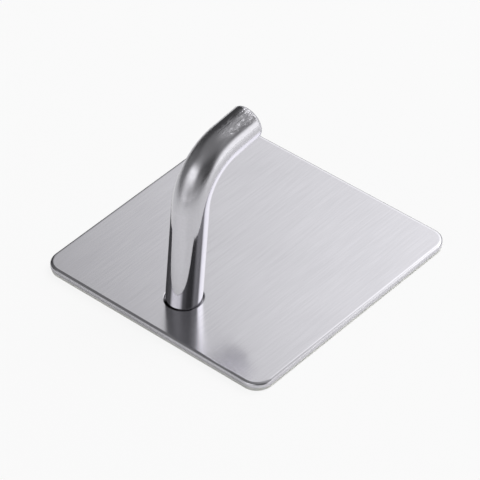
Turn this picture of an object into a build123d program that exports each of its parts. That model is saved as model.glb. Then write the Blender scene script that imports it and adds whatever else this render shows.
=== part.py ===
# Adhesive wall hook: a square stainless plate with one bent round rod, a foam tape pad and its liner.
# The hook lies on its back. The liner's outer face is z = 0 and +Z points away from the wall.
# +Y points up the wall, which is the way the arm of the hook bends.
import os
from math import cos, radians, sin, tan

from build123d import *

# Plate, blanked from sheet: its front edge rolls over gently and then turns down round a tighter nose
plate_width = 60.0
plate_height = 60.0
plate_thickness = 1.2
plate_corner_radius = 4.0
plate_edge_roll_width = 0.5
plate_edge_roll_depth = 0.15
plate_edge_roll_radius = 1.5
plate_edge_nose_radius = 0.4
plate_back_edge_chamfer = 0.15

# Foam tape and liner on the plate's back
pad_thickness = 0.6
pad_inset = 0.2
liner_thickness = 0.12

# Rod, one round bar bent once
rod_diameter = 7.75
rod_above_lower_edge = 10.8
rod_lean = 8.6
root_length = 22.5
bend_radius = 12.0
bend_angle = 76.0
arm_length = 7.5
tip_edge_radius = 0.8

# Seat, a shallow pocket in the plate's front that takes the rod's foot
seat_depth = 0.4
seat_edge_radius = 0.3
seat_clearance = 0.02

# Tenon, passed through the plate and peened into a countersink
tenon_diameter = 5.0
tenon_head_spread = 0.4
tenon_head_angle = 90.0
tenon_clearance = 0.04

# Levels and places that follow from the sizes above
pad_back = liner_thickness
plate_back = pad_back + pad_thickness
plate_front = plate_back + plate_thickness
nose_low = plate_front - 1.05 * plate_edge_roll_depth
nose_high = plate_front - 0.95 * plate_edge_roll_depth
foot_y = rod_above_lower_edge - plate_height / 2
rod_radius = rod_diameter / 2
foot = Vector(0, foot_y, plate_front)
root_direction = Vector(0, sin(radians(rod_lean)), cos(radians(rod_lean)))
seat_floor = plate_front - seat_depth
foot_reach = rod_radius / cos(radians(rod_lean)) + seat_depth * tan(radians(rod_lean))
seat_radius = foot_reach + seat_clearance
tenon_radius = tenon_diameter / 2
tenon_head_radius = tenon_radius + tenon_head_spread
tenon_head_depth = tenon_head_spread / tan(radians(tenon_head_angle / 2))
pad_width = plate_width - 2 * pad_inset
pad_height = plate_height - 2 * pad_inset
pad_corner_radius = plate_corner_radius - pad_inset

# Plate with the rod's seat in its front, rolled over at its mouth, and a countersunk hole from the back
with BuildPart() as base_plate:
    with BuildSketch(Plane.XY.offset(plate_back)):
        RectangleRounded(plate_width, plate_height, plate_corner_radius)
    extrude(amount=plate_thickness)
    front = base_plate.faces().sort_by(Axis.Z)[-1]
    chamfer(front.edges(), plate_edge_roll_width, plate_edge_roll_depth, reference=front)
    fillet(base_plate.faces().sort_by(Axis.Z)[-1].edges(), plate_edge_roll_radius)
    fillet(base_plate.edges().filter_by_position(Axis.Z, nose_low, nose_high), plate_edge_nose_radius)
    chamfer(base_plate.faces().sort_by(Axis.Z)[0].edges(), plate_back_edge_chamfer)
    with Locations((0, foot_y, plate_front)):
        CounterBoreHole(
            tenon_radius + tenon_clearance,
            seat_radius,
            seat_depth,
            depth=plate_thickness,
        )
    fillet(base_plate.edges(Select.LAST).sort_by(Axis.Z)[-1:], seat_edge_radius)
    with Locations(Plane(origin=(0, foot_y, plate_back), z_dir=(0, 0, -1))):
        CounterSinkHole(
            tenon_radius + tenon_clearance,
            tenon_head_radius + tenon_clearance,
            depth=plate_thickness,
            counter_sink_angle=tenon_head_angle,
        )

# Rod: the bar is swept along its bent axis from below the plate, then cut off flat on the seat's floor
with BuildPart() as hook_rod:
    with BuildLine(Plane.YZ):
        root = Line(foot - root_direction * rod_diameter, foot + root_direction * root_length)
        bend = JernArc(root @ 1, root % 1, bend_radius, -bend_angle)
        arm = Line(bend @ 1, (bend @ 1) + (bend % 1) * arm_length)
    with BuildSketch(Plane(origin=root @ 0, z_dir=root % 0)):
        Circle(rod_radius)
    sweep()
    split(bisect_by=Plane.XY.offset(seat_floor), keep=Keep.TOP)
    fillet(hook_rod.faces().sort_by_distance(arm @ 1)[0].edges(), tip_edge_radius)
    # Tenon: through the plate, spread to a flush head at its back
    with BuildSketch(Plane.XZ.offset(-foot_y)):
        with BuildLine():
            Polyline(
                (0, seat_floor),
                (tenon_radius, seat_floor),
                (tenon_radius, plate_back + tenon_head_depth),
                (tenon_head_radius, plate_back),
                (0, plate_back),
                close=True,
            )
        make_face()
    revolve(axis=Axis((0, foot_y, 0), (0, 0, 1)))

# Foam tape pad on the plate's back
with BuildPart() as adhesive_pad:
    with BuildSketch(Plane.XY.offset(pad_back)):
        RectangleRounded(pad_width, pad_height, pad_corner_radius)
    extrude(amount=pad_thickness)

# Liner over the tape, cut with it to one outline
with BuildPart() as release_liner:
    with BuildSketch(Plane.XY):
        RectangleRounded(pad_width, pad_height, pad_corner_radius)
    extrude(amount=liner_thickness)

base_plate.part.label = "base_plate"
hook_rod.part.label = "hook_rod"
adhesive_pad.part.label = "adhesive_pad"
release_liner.part.label = "release_liner"

os.makedirs("parts", exist_ok=True)
export_step(base_plate.part, "parts/base_plate.step")
export_step(hook_rod.part, "parts/hook_rod.step")
export_step(adhesive_pad.part, "parts/adhesive_pad.step")
export_step(release_liner.part, "parts/release_liner.step")
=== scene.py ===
# %% [markdown]
# # An adhesive wall hook in brushed and polished steel
# The hook is a square stainless plate with one bent rod, a foam tape pad and the liner that covers it.
# It lies on its back on a white table, lit like a small product shot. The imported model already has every
# solid at its real size, so this lesson is about finishes: how two steels from the same works can look so
# different, and how a mirror-bright rod is lit with a few large soft lamps.

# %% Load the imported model
from math import cos, pi, radians, sin

import bpy
from mathutils import Matrix, Vector


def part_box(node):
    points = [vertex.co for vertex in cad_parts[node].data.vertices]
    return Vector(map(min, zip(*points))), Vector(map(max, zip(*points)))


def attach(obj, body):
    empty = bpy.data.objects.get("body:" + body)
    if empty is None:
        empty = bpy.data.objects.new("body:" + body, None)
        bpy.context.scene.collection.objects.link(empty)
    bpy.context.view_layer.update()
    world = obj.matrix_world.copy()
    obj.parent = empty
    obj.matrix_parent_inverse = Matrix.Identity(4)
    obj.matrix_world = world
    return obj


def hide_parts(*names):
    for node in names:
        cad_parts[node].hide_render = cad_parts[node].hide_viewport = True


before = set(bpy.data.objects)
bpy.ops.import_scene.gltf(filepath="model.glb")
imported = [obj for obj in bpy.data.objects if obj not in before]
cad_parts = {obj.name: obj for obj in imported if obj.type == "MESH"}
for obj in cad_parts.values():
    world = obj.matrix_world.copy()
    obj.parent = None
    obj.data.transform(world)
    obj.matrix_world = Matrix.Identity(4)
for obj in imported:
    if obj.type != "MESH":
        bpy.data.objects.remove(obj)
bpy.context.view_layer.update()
print("nodes:", sorted(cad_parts))

# %% [markdown]
# ## Units and a few small helpers
# Blender works in metres, while sheet, tape and scratches are measured in millimetres, so `MM` turns one
# into the other. Colours are written as the hex values a paint program shows, and one function turns them
# into the linear light that a shader works with. `add_node` adds a node, sets its values and links its
# inputs, which keeps each material short enough to read. `zone` marks a part of a surface: wear and dirt
# sit in places, and a place is easiest to write as limits on X, Y, Z or on a distance.

# %% Helpers
MM = 0.001


def to_linear(hex_colour):
    channels = [int(hex_colour[i:i + 2], 16) / 255 for i in (1, 3, 5)]
    return [c / 12.92 if c <= 0.04045 else ((c + 0.055) / 1.055) ** 2.4 for c in channels] + [1.0]


def add_node(tree, kind, inputs=None, **settings):
    node = tree.nodes.new(kind)
    for name, value in settings.items():
        setattr(node, name, value)
    for name, value in (inputs or {}).items():
        if isinstance(value, bpy.types.NodeSocket):
            tree.links.new(value, node.inputs[name])
        else:
            node.inputs[name].default_value = value
    return node


def zone(tree, *limits):
    """A mask from pairs of a value and two limits: 0 before the first limit, 1 after the second."""
    mask = 1.0
    for value, (begins, full) in limits:
        ramp = add_node(
            tree, "ShaderNodeMapRange", {"Value": value, "From Min": begins, "From Max": full},
            interpolation_type="SMOOTHSTEP",
        )
        mask = add_node(
            tree, "ShaderNodeMath", {0: mask, 1: ramp.outputs["Result"]}, operation="MULTIPLY"
        ).outputs[0]
    return mask


def new_material(name):
    material = bpy.data.materials.new(name)
    material.use_nodes = True
    material.node_tree.nodes.clear()
    return material, material.node_tree


def dress(piece, material):
    piece.data.materials.clear()
    piece.data.materials.append(material)
    print(piece.name, "wears", material.name)


# %% [markdown]
# ## The plate: brushed stainless steel
# The sheet was drawn under an abrasive belt before it was blanked, so its face is covered with fine
# parallel scratches that run up the plate. Each scratch is a tiny round-bottomed groove. It throws light
# out sideways and hardly at all along its length, so a lamp's image is smeared across the scratches.
# The anisotropy of the shader does that smearing. Its tangent is set across the scratches, along X,
# because that is the direction of the wide spread. Noise stretched along Y then changes the gloss and
# the slope a little from scratch to scratch.
#
# The rod's mirror image stands straight below its foot, where a dead flat face would make it slant. Why
# isn't known, so only the shading leans, by nearly four degrees, and the mesh stays flat: a bump whose
# height changes evenly across the face does that. The crevice around the foot is darkened with painted
# shade, a near-black mixed into the steel's colour, most of all on the left. The seat's lip at the far left
# is kept out of the painted shade and stays bright.

# %% Lean of the face
FACE_LEAN = (-0.047, -0.045, 0)         # height gained for each unit of X and Y

plate_low, plate_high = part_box("base_plate")
# Z: the rolled edge lies below the first limit, the flat face above the second
FACE_LEVEL = (plate_high.z - 0.06 * MM, plate_high.z - 0.01 * MM)


def leaning_face(tree, place):
    lean = add_node(tree, "ShaderNodeVectorMath", {0: place, 1: FACE_LEAN}, operation="DOT_PRODUCT")
    height = add_node(tree, "ShaderNodeSeparateXYZ", {"Vector": place}).outputs["Z"]
    face = zone(tree, (height, FACE_LEVEL))
    return add_node(
        tree, "ShaderNodeBump", {"Height": lean.outputs["Value"], "Strength": face, "Distance": 1.0}
    ).outputs["Normal"]


print("face of the plate at", round(plate_high.z / MM, 2), "mm")

# %% Painted shade in the crevice
FOOT_Y = plate_low.y + 10.8 * MM        # the foot stands this far above the plate's lower edge, at X = 0
CREVICE = (4.48 * MM, 4.16 * MM)        # distance from the foot: where the painted shade begins and is full
LIP_UNSHADED = (-3.4 * MM, -2.2 * MM)       # X: left of these the seat's lip is kept free of painted shade and stays bright
PAINTED_SHADE_SIDE = (4 * MM, 1 * MM)           # X: little painted shade right of the first, all of it left of the second
PAINTED_SHADE_ON_RIGHT = 0.35                   # share of the painted shade on the right


# Mask of the painted shade in the crevice round the foot: heavier on the left, none on the seat's far-left
# lip
def painted_crevice_shade(tree, place):
    across = add_node(tree, "ShaderNodeSeparateXYZ", {"Vector": place}).outputs["X"]
    flat = add_node(tree, "ShaderNodeVectorMath", {0: place, 1: (1, 1, 0)}, operation="MULTIPLY")
    from_foot = add_node(
        tree, "ShaderNodeVectorMath", {0: flat.outputs["Vector"], 1: (0, FOOT_Y, 0)}, operation="DISTANCE"
    )
    side = add_node(
        tree, "ShaderNodeMapRange",
        {"Value": zone(tree, (across, PAINTED_SHADE_SIDE)), "To Min": PAINTED_SHADE_ON_RIGHT, "To Max": 1.0},
    )
    ring = zone(tree, (from_foot.outputs["Value"], CREVICE), (across, LIP_UNSHADED))
    return add_node(
        tree, "ShaderNodeMath", {0: ring, 1: side.outputs["Result"]}, operation="MULTIPLY"
    ).outputs[0]


print("foot at", round(FOOT_Y / MM, 2), "mm from the plate's centre")

# %% Brushed stainless steel
NOISE_LOW, NOISE_HIGH = 0.3, 0.7        # noise seldom leaves these values
SCRATCH_WIDTH = 0.35 * MM               # real scratches are about 0.05 mm; drawn wider so that they show
SCRATCH_LENGTH = 9 * MM
SCRATCH_DEPTH = 0.02 * MM
SCRATCH_RELIEF = 0.02
CLOUD_SIZE = 14 * MM                    # broad clouds under the scratches
CLOUD_SHARE = 0.3
BRUSHED_ROUGHNESS = (0.14, 0.17)
BRUSHED_ANISOTROPY = 0.6
TANGENT_TILT = 0.1                      # keeps the tangent off the normal of the plate's sides


def brushed_stainless_steel():
    # Belt-brushed sheet: a pale grey metal that smears each reflection across its scratches
    material, tree = new_material("brushed_stainless_steel")
    place = add_node(tree, "ShaderNodeTexCoord").outputs["Object"]
    along = add_node(
        tree, "ShaderNodeMapping",
        {"Vector": place, "Scale": (1 / SCRATCH_WIDTH, 1 / SCRATCH_LENGTH, 1 / SCRATCH_LENGTH)},
    )
    scratches = add_node(
        tree, "ShaderNodeTexNoise", {"Vector": along.outputs["Vector"], "Scale": 1.0, "Detail": 3.0}
    )
    clouds = add_node(
        tree, "ShaderNodeTexNoise", {"Vector": place, "Scale": 1 / CLOUD_SIZE, "Detail": 2.0}
    )
    both = add_node(
        tree, "ShaderNodeMix",
        {"Factor": CLOUD_SHARE, "A": scratches.outputs["Fac"], "B": clouds.outputs["Fac"]},
    )
    # Colour and roughness drift a little from scratch to scratch
    colour = add_node(tree, "ShaderNodeValToRGB", {"Fac": both.outputs["Result"]})
    colour.color_ramp.elements[0].position = NOISE_LOW
    colour.color_ramp.elements[0].color = to_linear("#C5C4C9")
    colour.color_ramp.elements[1].position = NOISE_HIGH
    colour.color_ramp.elements[1].color = to_linear("#CECDD2")
    gloss = add_node(
        tree, "ShaderNodeMapRange",
        {
            "Value": both.outputs["Result"], "From Min": NOISE_LOW, "From Max": NOISE_HIGH,
            "To Min": BRUSHED_ROUGHNESS[0], "To Max": BRUSHED_ROUGHNESS[1],
        },
    )
    slope = add_node(
        tree, "ShaderNodeBump",
        {
            "Height": scratches.outputs["Fac"], "Strength": SCRATCH_RELIEF, "Distance": SCRATCH_DEPTH,
            "Normal": leaning_face(tree, place),
        },
    )
    # Painted shade: a near-black mixed into the steel's colour in the crevice round the foot
    crevice_shaded = add_node(
        tree, "ShaderNodeMix",
        {
            "Factor": painted_crevice_shade(tree, place), "A": colour.outputs["Color"],
            "B": to_linear("#1E1E1F"),
        },
        data_type="RGBA",
    )
    across = add_node(tree, "ShaderNodeCombineXYZ", {"X": 1.0, "Y": 0.0, "Z": TANGENT_TILT})
    steel = add_node(
        tree, "ShaderNodeBsdfPrincipled",
        {
            "Base Color": crevice_shaded.outputs["Result"],
            "Metallic": 1.0,
            "Roughness": gloss.outputs["Result"],
            "Anisotropic": BRUSHED_ANISOTROPY,
            "Tangent": across.outputs["Vector"],
            "Normal": slope.outputs["Normal"],
        },
    )
    add_node(tree, "ShaderNodeOutputMaterial", {"Surface": steel.outputs["BSDF"]})
    return material


dress(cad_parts["base_plate"], brushed_stainless_steel())

# %% [markdown]
# ## The rod: polished stainless steel
# The bar is the same metal as the plate, but it was buffed after bending until it mirrors the room. What
# the eye reads as its colour is really the table, the lamps and the dark room between them. A perfect
# mirror would look like glass, so faint buffing marks and a slow waviness keep it metal.
#
# The polish isn't even. On the outside of a bend the metal is stretched and its grain comes up, so the
# lamp's image is a soft oval there. Short dull scrapes run along the top of the arm, where things hang.
# The tip's edge is duller, as after deburring, and a small dent on top of the tip catches the light. The
# tip's underside is dulled too, which keeps its image of the lit plate from glaring.

# %% Where the rod is worn
ROD_LEAN = radians(8.6)
ROOT_LENGTH = 22.5 * MM
BEND_RADIUS = 12 * MM
DENT = Vector((0.9, 2.3, 38.4)) * MM
DENT_RAGGED = 1.6 * MM                  # how far the dent's outline strays
# Limits of the worn places: the first is where the wear begins, the second where it is full
BEND_OUTSIDE = (13 * MM, 15 * MM)       # distance from the bend's centre
BEND_STARTS = (25.5 * MM, 30 * MM)      # Z
BEND_STOPS = (-3 * MM, -9 * MM)         # Y
ARM_TOP = (36.9 * MM, 38.0 * MM)        # Z
ARM_STARTS = (-9 * MM, -5 * MM)         # Y
ARM_RIGHT = (-1.2 * MM, 0.4 * MM)       # X
TIP_EDGE = (0.9 * MM, 1.7 * MM)         # Y
TIP_STARTS = (-5 * MM, -1 * MM)         # Y
TIP_UNDERSIDE = (34.2 * MM, 32.8 * MM)  # Z
DENT_EDGE = (2.9 * MM, 1.5 * MM)        # distance from the dent

root_up = Vector((0, sin(ROD_LEAN), cos(ROD_LEAN)))
root_forward = Vector((0, cos(ROD_LEAN), -sin(ROD_LEAN)))
bend_centre = Vector((0, FOOT_Y, plate_high.z)) + root_up * ROOT_LENGTH + root_forward * BEND_RADIUS


def worn_places(tree, place, scrapes):
    """Masks of the bend's outside, the arm's top, the tip's edge, the tip's underside and the dent."""
    x, y, z = add_node(tree, "ShaderNodeSeparateXYZ", {"Vector": place}).outputs
    flat = add_node(tree, "ShaderNodeVectorMath", {0: place, 1: (0, 1, 1)}, operation="MULTIPLY")
    from_bend = add_node(
        tree, "ShaderNodeVectorMath", {0: flat.outputs["Vector"], 1: bend_centre}, operation="DISTANCE"
    ).outputs["Value"]
    from_dent = add_node(tree, "ShaderNodeVectorMath", {0: place, 1: DENT}, operation="DISTANCE")
    ragged = add_node(
        tree, "ShaderNodeMath",
        {0: scrapes, 1: DENT_RAGGED, 2: from_dent.outputs["Value"]}, operation="MULTIPLY_ADD",
    ).outputs[0]
    return (
        zone(tree, (from_bend, BEND_OUTSIDE), (z, BEND_STARTS), (y, BEND_STOPS)),
        zone(tree, (z, ARM_TOP), (y, ARM_STARTS), (x, ARM_RIGHT)),
        zone(tree, (y, TIP_EDGE)),
        zone(tree, (y, TIP_STARTS), (z, TIP_UNDERSIDE)),
        zone(tree, (ragged, DENT_EDGE)),
    )


print("bend centre at", [round(v / MM, 2) for v in bend_centre], "mm")

# %% Polished stainless steel
BUFF_MARK = 0.5 * MM                    # real marks are finer; drawn coarser so that they show
WAVE_SIZE = 5 * MM
WAVE_DEPTH = 0.1 * MM
WAVE_RELIEF = 0.05
SCRAPE_WIDTH = 0.5 * MM
SCRAPE_LENGTH = 2.2 * MM
SCRAPE_DEPTH = 0.15 * MM
SCRAPE_LOW, SCRAPE_HIGH = 0.48, 0.62    # noise between which a scrape turns dull
DENT_DEPTH = 0.13 * MM
POLISHED_ROUGHNESS = (0.05, 0.09)
# Roughness that each worn place adds
BEND_DULL, SCRAPE_DULL, TIP_EDGE_DULL, UNDERSIDE_DULL = 0.18, 0.26, 0.35, 0.25


def polished_stainless_steel():
    # Buffed bar: nearly a mirror, so its tone is mostly the room's
    material, tree = new_material("polished_stainless_steel")
    place = add_node(tree, "ShaderNodeTexCoord").outputs["Object"]
    marks = add_node(tree, "ShaderNodeTexNoise", {"Vector": place, "Scale": 1 / BUFF_MARK, "Detail": 4.0})
    waves = add_node(tree, "ShaderNodeTexNoise", {"Vector": place, "Scale": 1 / WAVE_SIZE, "Detail": 1.0})
    along = add_node(
        tree, "ShaderNodeMapping",
        {"Vector": place, "Scale": (1 / SCRAPE_WIDTH, 1 / SCRAPE_LENGTH, 1 / SCRAPE_WIDTH)},
    )
    scrapes = add_node(
        tree, "ShaderNodeTexNoise",
        {"Vector": along.outputs["Vector"], "Scale": 1.0, "Detail": 3.0, "Distortion": 0.6},
    ).outputs["Fac"]
    stretched, rubbed, tip_edge, under_tip, dented = worn_places(tree, place, scrapes)
    scraped = add_node(
        tree, "ShaderNodeMapRange",
        {
            "Value": scrapes, "From Min": SCRAPE_LOW, "From Max": SCRAPE_HIGH,
            "To Min": 0.0, "To Max": rubbed,
        },
    ).outputs["Result"]
    # Gloss: nearly a mirror, duller in each worn place
    gloss = add_node(
        tree, "ShaderNodeMapRange",
        {
            "Value": marks.outputs["Fac"], "From Min": NOISE_LOW, "From Max": NOISE_HIGH,
            "To Min": POLISHED_ROUGHNESS[0], "To Max": POLISHED_ROUGHNESS[1],
        },
    ).outputs["Result"]
    for worn, dulling in (
        (stretched, BEND_DULL), (scraped, SCRAPE_DULL), (tip_edge, TIP_EDGE_DULL), (under_tip, UNDERSIDE_DULL)
    ):
        gloss = add_node(
            tree, "ShaderNodeMath", {0: worn, 1: dulling, 2: gloss}, operation="MULTIPLY_ADD"
        ).outputs[0]
    # Relief: slow waves everywhere, scrapes on the arm, and the dent pressed in
    slope = None
    for height, strength, depth, pressed_in in (
        (waves.outputs["Fac"], WAVE_RELIEF, WAVE_DEPTH, False),
        (scrapes, rubbed, SCRAPE_DEPTH, False),
        (dented, 1.0, DENT_DEPTH, True),
    ):
        relief = {"Height": height, "Strength": strength, "Distance": depth}
        if slope:
            relief["Normal"] = slope
        slope = add_node(tree, "ShaderNodeBump", relief, invert=pressed_in).outputs["Normal"]
    # Buffing marks shift the metal's tone by a hair
    tone = add_node(tree, "ShaderNodeValToRGB", {"Fac": marks.outputs["Fac"]})
    tone.color_ramp.elements[0].position = NOISE_LOW
    tone.color_ramp.elements[0].color = to_linear("#C9C8CD")
    tone.color_ramp.elements[1].position = NOISE_HIGH
    tone.color_ramp.elements[1].color = to_linear("#C3C2C7")
    steel = add_node(
        tree, "ShaderNodeBsdfPrincipled",
        {"Base Color": tone.outputs["Color"], "Metallic": 1.0, "Roughness": gloss, "Normal": slope},
    )
    add_node(tree, "ShaderNodeOutputMaterial", {"Surface": steel.outputs["BSDF"]})
    return material


dress(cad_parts["hook_rod"], polished_stainless_steel())

# %% [markdown]
# ## The foam tape and its liner
# The tape is a white closed-cell foam with glue on both faces. It shows only as a thin matt line under
# the plate's edge, so its cells are a faint speckle and hardly a relief. The liner is a waxy film that
# keeps the glue clean, and it shows when the hook is turned over.

# %% Foam
CELL_SIZE = 0.25 * MM          # real cells are finer; drawn coarser so that they show
CELL_DEPTH = 0.02 * MM
CELL_RELIEF = 0.05
FOAM_ROUGHNESS = 0.85


def acrylic_foam():
    # Blown foam, cut with a blade: matt white with a faint speckle of cells
    material, tree = new_material("closed_cell_acrylic_foam")
    place = add_node(tree, "ShaderNodeTexCoord").outputs["Object"]
    cells = add_node(tree, "ShaderNodeTexVoronoi", {"Vector": place, "Scale": 1 / CELL_SIZE})
    colour = add_node(tree, "ShaderNodeValToRGB", {"Fac": cells.outputs["Distance"]})
    colour.color_ramp.elements[0].color = to_linear("#D5D5D2")
    colour.color_ramp.elements[1].color = to_linear("#DBDBD8")
    dimples = add_node(
        tree, "ShaderNodeBump",
        {"Height": cells.outputs["Distance"], "Strength": CELL_RELIEF, "Distance": CELL_DEPTH},
    )
    foam = add_node(
        tree, "ShaderNodeBsdfPrincipled",
        {
            "Base Color": colour.outputs["Color"], "Roughness": FOAM_ROUGHNESS,
            "Normal": dimples.outputs["Normal"],
        },
    )
    add_node(tree, "ShaderNodeOutputMaterial", {"Surface": foam.outputs["BSDF"]})
    return material


# %% Liner film
FILM_MOTTLE = 6 * MM
FILM_LOW, FILM_HIGH = 0.35, 0.65    # noise between which the film's tone changes
FILM_ROUGHNESS = (0.32, 0.48)


def silicone_film():
    # Film coated with silicone: off-white, with a waxy gloss that varies in soft patches
    material, tree = new_material("siliconised_liner_film")
    place = add_node(tree, "ShaderNodeTexCoord").outputs["Object"]
    mottle = add_node(
        tree, "ShaderNodeTexNoise", {"Vector": place, "Scale": 1 / FILM_MOTTLE, "Detail": 5.0}
    )
    colour = add_node(tree, "ShaderNodeValToRGB", {"Fac": mottle.outputs["Fac"]})
    colour.color_ramp.elements[0].position = FILM_LOW
    colour.color_ramp.elements[0].color = to_linear("#DDDCD6")
    colour.color_ramp.elements[1].position = FILM_HIGH
    colour.color_ramp.elements[1].color = to_linear("#E8E7E2")
    gloss = add_node(
        tree, "ShaderNodeMapRange",
        {
            "Value": mottle.outputs["Fac"], "From Min": NOISE_LOW, "From Max": NOISE_HIGH,
            "To Min": FILM_ROUGHNESS[0], "To Max": FILM_ROUGHNESS[1],
        },
    )
    film = add_node(
        tree, "ShaderNodeBsdfPrincipled",
        {"Base Color": colour.outputs["Color"], "Roughness": gloss.outputs["Result"]},
    )
    add_node(tree, "ShaderNodeOutputMaterial", {"Surface": film.outputs["BSDF"]})
    return material


dress(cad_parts["release_liner"], silicone_film())

# %% [markdown]
# ## The pad's own form
# Foam isn't cut as squarely as steel. The blade presses it down before it parts, so it springs back with
# a slight waist at half its height. A plane at the pad's size is the quickest start: its corners are
# rounded as vertices, and two extrusions, the first drawn in a little and the second let out again, make
# the waist.

# %% Foam tape pad
PAD_CORNER = 3.8 * MM
PAD_CORNER_STEPS = 12
PAD_WAIST = 0.08 * MM          # how far the cut edge is drawn in at half height
SMOOTH_UP_TO = radians(30)

pad_low, pad_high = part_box("adhesive_pad")
pad_size = pad_high - pad_low
pad_middle = (pad_low + pad_high) / 2
waist_share = 1 - 2 * PAD_WAIST / pad_size.x
bpy.ops.object.select_all(action="DESELECT")
bpy.ops.mesh.primitive_plane_add(size=1, location=(pad_middle.x, pad_middle.y, pad_low.z))
pad = bpy.context.object
pad.name = "foam_pad"
bpy.ops.object.mode_set(mode="EDIT")
bpy.ops.mesh.select_all(action="SELECT")
bpy.ops.transform.resize(value=(pad_size.x, pad_size.y, 1))
bpy.ops.mesh.bevel(offset=PAD_CORNER, segments=PAD_CORNER_STEPS, affect="VERTICES")
bpy.ops.mesh.select_all(action="SELECT")
for share in (waist_share, 1 / waist_share):
    bpy.ops.mesh.extrude_region_move(TRANSFORM_OT_translate={"value": (0, 0, pad_size.z / 2)})
    bpy.ops.transform.resize(value=(share, share, 1))
bpy.ops.mesh.select_all(action="SELECT")
bpy.ops.mesh.normals_make_consistent(inside=False)
bpy.ops.object.mode_set(mode="OBJECT")
bpy.ops.object.transform_apply(location=True, rotation=True, scale=True)
bpy.ops.object.shade_smooth_by_angle(angle=SMOOTH_UP_TO)
dress(pad, acrylic_foam())
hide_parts("adhesive_pad")
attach(pad, "root")
sides_mm = [round(side / MM, 2) for side in pad.dimensions]
print("foam pad:", len(pad.data.polygons), "faces,", sides_mm, "mm")

# %% [markdown]
# ## The table
# The hook lies on a white laminate table that fills the picture. A white ground under a product is usually
# burnt out to plain white, so the camera sees most of the table as glowing white. The rest of it is lit in
# the ordinary way and keeps a faint shadow. In the steel the table is hardly burnt out: there its shadow
# along the plate's front edge shows, and so does the laminate's satin coat, which returns a little of the
# lamps. A plane is inset once and loses its middle face, so the liner can be seen from below through that
# window, which the hook covers from above.

# %% White table
TABLE_SIZE = 12.0
TABLE_DROP = 0.02 * MM         # a hair below the liner, so that the two flat faces don't coincide
TABLE_WINDOW = 56 * MM         # opening hidden under the hook
CAMERA_BURNT = 0.93            # share of plain white to the camera; the rest is lit by the lamps
MIRROR_BURNT = 0.10            # the same share in the steel's mirror image
TABLE_COAT = 0.10              # roughness of the laminate's coat
COAT_IOR = 1.45

bpy.ops.object.select_all(action="DESELECT")
bpy.ops.mesh.primitive_plane_add(size=TABLE_SIZE, location=(0, 0, -TABLE_DROP))
table = bpy.context.object
table.name = "table"
bpy.ops.object.mode_set(mode="EDIT")
bpy.ops.mesh.select_all(action="SELECT")
bpy.ops.mesh.inset(thickness=(TABLE_SIZE - TABLE_WINDOW) / 2)
bpy.ops.mesh.delete(type="FACE")
bpy.ops.object.mode_set(mode="OBJECT")
bpy.ops.object.transform_apply(location=True, rotation=True, scale=True)
laminate, tree = new_material("white_laminate")
path = add_node(tree, "ShaderNodeLightPath")
share = 0.0
for ray, burnt_share in (
    ("Is Camera Ray", CAMERA_BURNT), ("Is Transmission Ray", CAMERA_BURNT), ("Is Glossy Ray", MIRROR_BURNT)
):
    part = add_node(tree, "ShaderNodeMath", {0: path.outputs[ray], 1: burnt_share}, operation="MULTIPLY")
    share = add_node(
        tree, "ShaderNodeMath", {0: share, 1: part.outputs[0]}, operation="MAXIMUM"
    ).outputs[0]
matt = add_node(tree, "ShaderNodeBsdfDiffuse", {"Color": to_linear("#F3F3F3")})
white = add_node(tree, "ShaderNodeEmission", {"Color": to_linear("#FAFAFA"), "Strength": 1.0})
burnt = add_node(
    tree, "ShaderNodeMixShader",
    {"Fac": share, 1: matt.outputs["BSDF"], 2: white.outputs["Emission"]},
)
edge_on = add_node(tree, "ShaderNodeFresnel", {"IOR": COAT_IOR})
coat_share = add_node(
    tree, "ShaderNodeMath",
    {0: edge_on.outputs["Fac"], 1: path.outputs["Is Glossy Ray"]}, operation="MULTIPLY",
)
coat = add_node(tree, "ShaderNodeBsdfGlossy", {"Color": to_linear("#FFFFFF"), "Roughness": TABLE_COAT})
coated = add_node(
    tree, "ShaderNodeMixShader",
    {"Fac": coat_share.outputs[0], 1: burnt.outputs["Shader"], 2: coat.outputs["BSDF"]},
)
add_node(tree, "ShaderNodeOutputMaterial", {"Surface": coated.outputs["Shader"]})
dress(table, laminate)

# %% [markdown]
# ## The room and the soft lamps
# A polished rod is lit by what it mirrors. The room is a dim grey with a few soft glows: the ceiling, the
# light that spills over each panel, and pale walls in front, with a light strip low above the table. Three
# soft panels stand in it: a large one behind the hook, which the plate mirrors and which draws the white
# line under the bend, one low on the right, which lights the arm's flank, and one in front, which makes
# the spot on the bend. Cloth in front of a lamp glows most in its middle, so each panel fades towards its
# edges. The front and back panels fade slowly at the foot: seen from low in front or behind, the plate
# mirrors that part straight on, and a full glow would burn it out to white. A fourth lamp overhead is hidden
# from mirror rays: it only brings the matt pieces and the table up to a plain level.


# %% Dim room
def direction(azimuth, elevation):
    a, e = radians(azimuth), radians(elevation)
    return Vector((sin(a) * cos(e), -cos(a) * cos(e), sin(e)))


ROOM_GREY = 0.075
# Each glow: azimuth and elevation of its middle, the angle it is full to, the angle it ends at, brightness
GLOWS = {
    "ceiling": (0, 90, 25, 55, 0.16),
    "over_back_panel": (170, 58, 5, 32, 0.30),
    "over_front_panel": (-5, 48, 5, 28, 0.09),
    "over_right_panel": (115, 35, 5, 28, 0.20),
    "front_wall": (-5, 0, 10, 50, 0.36),
    "front_floor_line": (-12, 2, 4, 24, 0.35),
    "front_right": (42, 9, 6, 26, 0.24),
    "front_left": (-62, 14, 8, 36, 0.14),
    "behind_far_edge": (216, 24, 5, 16, 0.30),
}
# The low strip of wall: azimuth of its middle, how far to each side it is full and ends, the elevations it
# is full below and ends at, brightness
LOW_STRIP = (35, 20, 75, 1, 6, 0.42)

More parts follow.
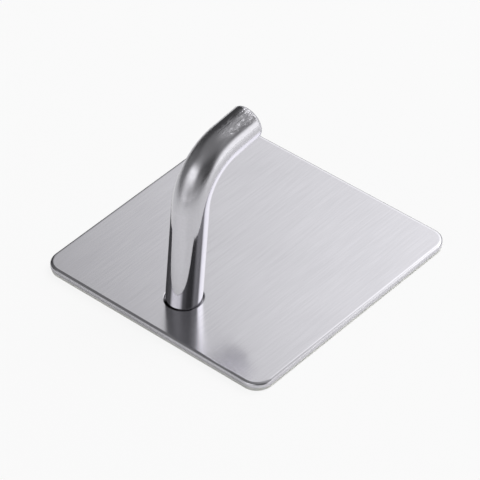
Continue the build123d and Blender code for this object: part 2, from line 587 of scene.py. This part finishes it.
world = bpy.data.worlds.new("dim_room")
bpy.context.scene.world = world
world.use_nodes = True
world.node_tree.nodes.clear()
tree = world.node_tree
look = add_node(tree, "ShaderNodeTexCoord").outputs["Generated"]
total = ROOM_GREY
for name, (azimuth, elevation, full, ends, brightness) in GLOWS.items():
    towards = add_node(
        tree, "ShaderNodeVectorMath", {0: look, 1: direction(azimuth, elevation)},
        operation="DOT_PRODUCT", label=name,
    )
    glow = zone(tree, (towards.outputs["Value"], (cos(radians(ends)), cos(radians(full)))))
    total = add_node(
        tree, "ShaderNodeMath", {0: glow, 1: brightness, 2: total}, operation="MULTIPLY_ADD"
    ).outputs[0]
azimuth, full, ends, full_below, top, brightness = LOW_STRIP
towards = add_node(
    tree, "ShaderNodeVectorMath", {0: look, 1: direction(azimuth, 0)}, operation="DOT_PRODUCT"
)
height = add_node(tree, "ShaderNodeSeparateXYZ", {"Vector": look}).outputs["Z"]
strip = zone(
    tree,
    (towards.outputs["Value"], (cos(radians(ends)), cos(radians(full)))),
    (height, (sin(radians(top)), sin(radians(full_below)))),
)
total = add_node(
    tree, "ShaderNodeMath", {0: strip, 1: brightness, 2: total}, operation="MULTIPLY_ADD"
).outputs[0]
backdrop = add_node(tree, "ShaderNodeBackground", {"Color": (1, 1, 1, 1), "Strength": total})
add_node(tree, "ShaderNodeOutputWorld", {"Surface": backdrop.outputs["Background"]})
print("room with", len(GLOWS), "glows and a low strip")


# %% Soft panels
def soft_panel(name, azimuth, distance, sides, heights, fades, brightness):
    """An upright panel that faces the hook. Sides run from its left to its right edge as the hook sees
    it, heights from bottom to top, and fades are the widths of the fade at left, right, bottom and top."""
    width = sides[1] - sides[0]
    height = heights[1] - heights[0]
    data = bpy.data.lights.new(name, "AREA")
    data.shape = "RECTANGLE"
    data.size = width
    data.size_y = height
    data.energy = brightness * pi * width * height
    data.use_nodes = True
    tree = data.node_tree
    tree.nodes.clear()
    # The lamp's U runs from the hook's right to its left, and its V from bottom to top
    u, v, _ = add_node(
        tree, "ShaderNodeSeparateXYZ", {"Vector": add_node(tree, "ShaderNodeTexCoord").outputs["UV"]}
    ).outputs
    left, right, bottom, top = fades
    glow = zone(
        tree,
        (u, (0.0, right / width)), (u, (1.0, 1.0 - left / width)),
        (v, (0.0, bottom / height)), (v, (1.0, 1.0 - top / height)),
    )
    cloth = add_node(tree, "ShaderNodeEmission", {"Color": (1, 1, 1, 1), "Strength": glow})
    add_node(tree, "ShaderNodeOutputLight", {"Surface": cloth.outputs["Emission"]})
    panel = bpy.data.objects.new(name, data)
    bpy.context.scene.collection.objects.link(panel)
    out = direction(azimuth, 0)
    hook_right = out.cross(Vector((0, 0, 1)))
    panel.location = out * distance + hook_right * (sum(sides) / 2) + Vector((0, 0, sum(heights) / 2))
    panel.rotation_euler = out.to_track_quat("Z", "Y").to_euler()
    panel.visible_camera = False
    print(name, f"{width:.2f} x {height:.2f} m, {data.energy:.2f} W")


soft_panel(
    "back_panel", azimuth=180, distance=1.0, sides=(-1.71, 1.39), heights=(0.0, 1.63),
    fades=(2.14, 0.7, 0.65, 0.55), brightness=2.16,
)
soft_panel(
    "right_panel", azimuth=115, distance=1.0, sides=(-0.6, 0.6), heights=(-0.55, 0.68),
    fades=(0.4, 0.4, 0.5, 0.5), brightness=1.4,
)
soft_panel(
    "front_panel", azimuth=-5.5, distance=1.0, sides=(-0.92, 1.05), heights=(0.12, 1.25),
    fades=(0.6, 0.8, 0.75, 0.45), brightness=1.56,
)

# %% Overhead lamp for matt surfaces
OVERHEAD_SIZE = 1.2
OVERHEAD_PLACE = Vector((0.2, 0.9, 1.3))
OVERHEAD_WATTS = 16.2

overhead_data = bpy.data.lights.new("overhead_lamp", "AREA")
overhead_data.shape = "DISK"
overhead_data.size = OVERHEAD_SIZE
overhead_data.energy = OVERHEAD_WATTS
overhead = bpy.data.objects.new("overhead_lamp", overhead_data)
bpy.context.scene.collection.objects.link(overhead)
overhead.location = OVERHEAD_PLACE
overhead.rotation_euler = OVERHEAD_PLACE.to_track_quat("Z", "Y").to_euler()
overhead.visible_camera = False
overhead.visible_glossy = False
print("overhead lamp at", tuple(overhead.location))

# %% [markdown]
# ## The camera
# The picture is taken from above one corner with a long lens, so the plate's opposite edges stay nearly
# parallel. The camera stands at an azimuth and an elevation around the hook, looks at a point beside the
# plate's centre, and leans by a small roll.

# %% Camera
CAMERA_AZIMUTH = 43.42
CAMERA_ELEVATION = 40.97
CAMERA_ROLL = 2.483
CAMERA_DISTANCE = 730.3 * MM
CAMERA_LENS = 262.3            # millimetres, as Blender's lens and sensor are
SENSOR_WIDTH = 36.0
NEAREST, FARTHEST = 0.01, 50.0
LOOK_AT = Vector((-4.62, 3.05, 0)) * MM

toward_camera = direction(CAMERA_AZIMUTH, CAMERA_ELEVATION)
level_right = Vector((0, 0, 1)).cross(toward_camera).normalized()
level_up = toward_camera.cross(level_right)
turn = Matrix.Rotation(radians(-CAMERA_ROLL), 3, toward_camera)
right, up = turn @ level_right, turn @ level_up
camera_data = bpy.data.cameras.new("camera")
camera_data.lens = CAMERA_LENS
camera_data.sensor_width = SENSOR_WIDTH
camera_data.clip_start = NEAREST
camera_data.clip_end = FARTHEST
camera = bpy.data.objects.new("camera", camera_data)
bpy.context.scene.collection.objects.link(camera)
axes_matrix = Matrix((right, up, toward_camera)).transposed()
camera.matrix_world = Matrix.Translation(LOOK_AT + toward_camera * CAMERA_DISTANCE) @ axes_matrix.to_4x4()
bpy.context.scene.camera = camera
print("camera at", [round(v, 3) for v in camera.location])

# %% [markdown]
# ## Finish
# The Standard view shows a colour about as it was written.

# %% Finish
bpy.context.scene.view_settings.view_transform = "Standard"
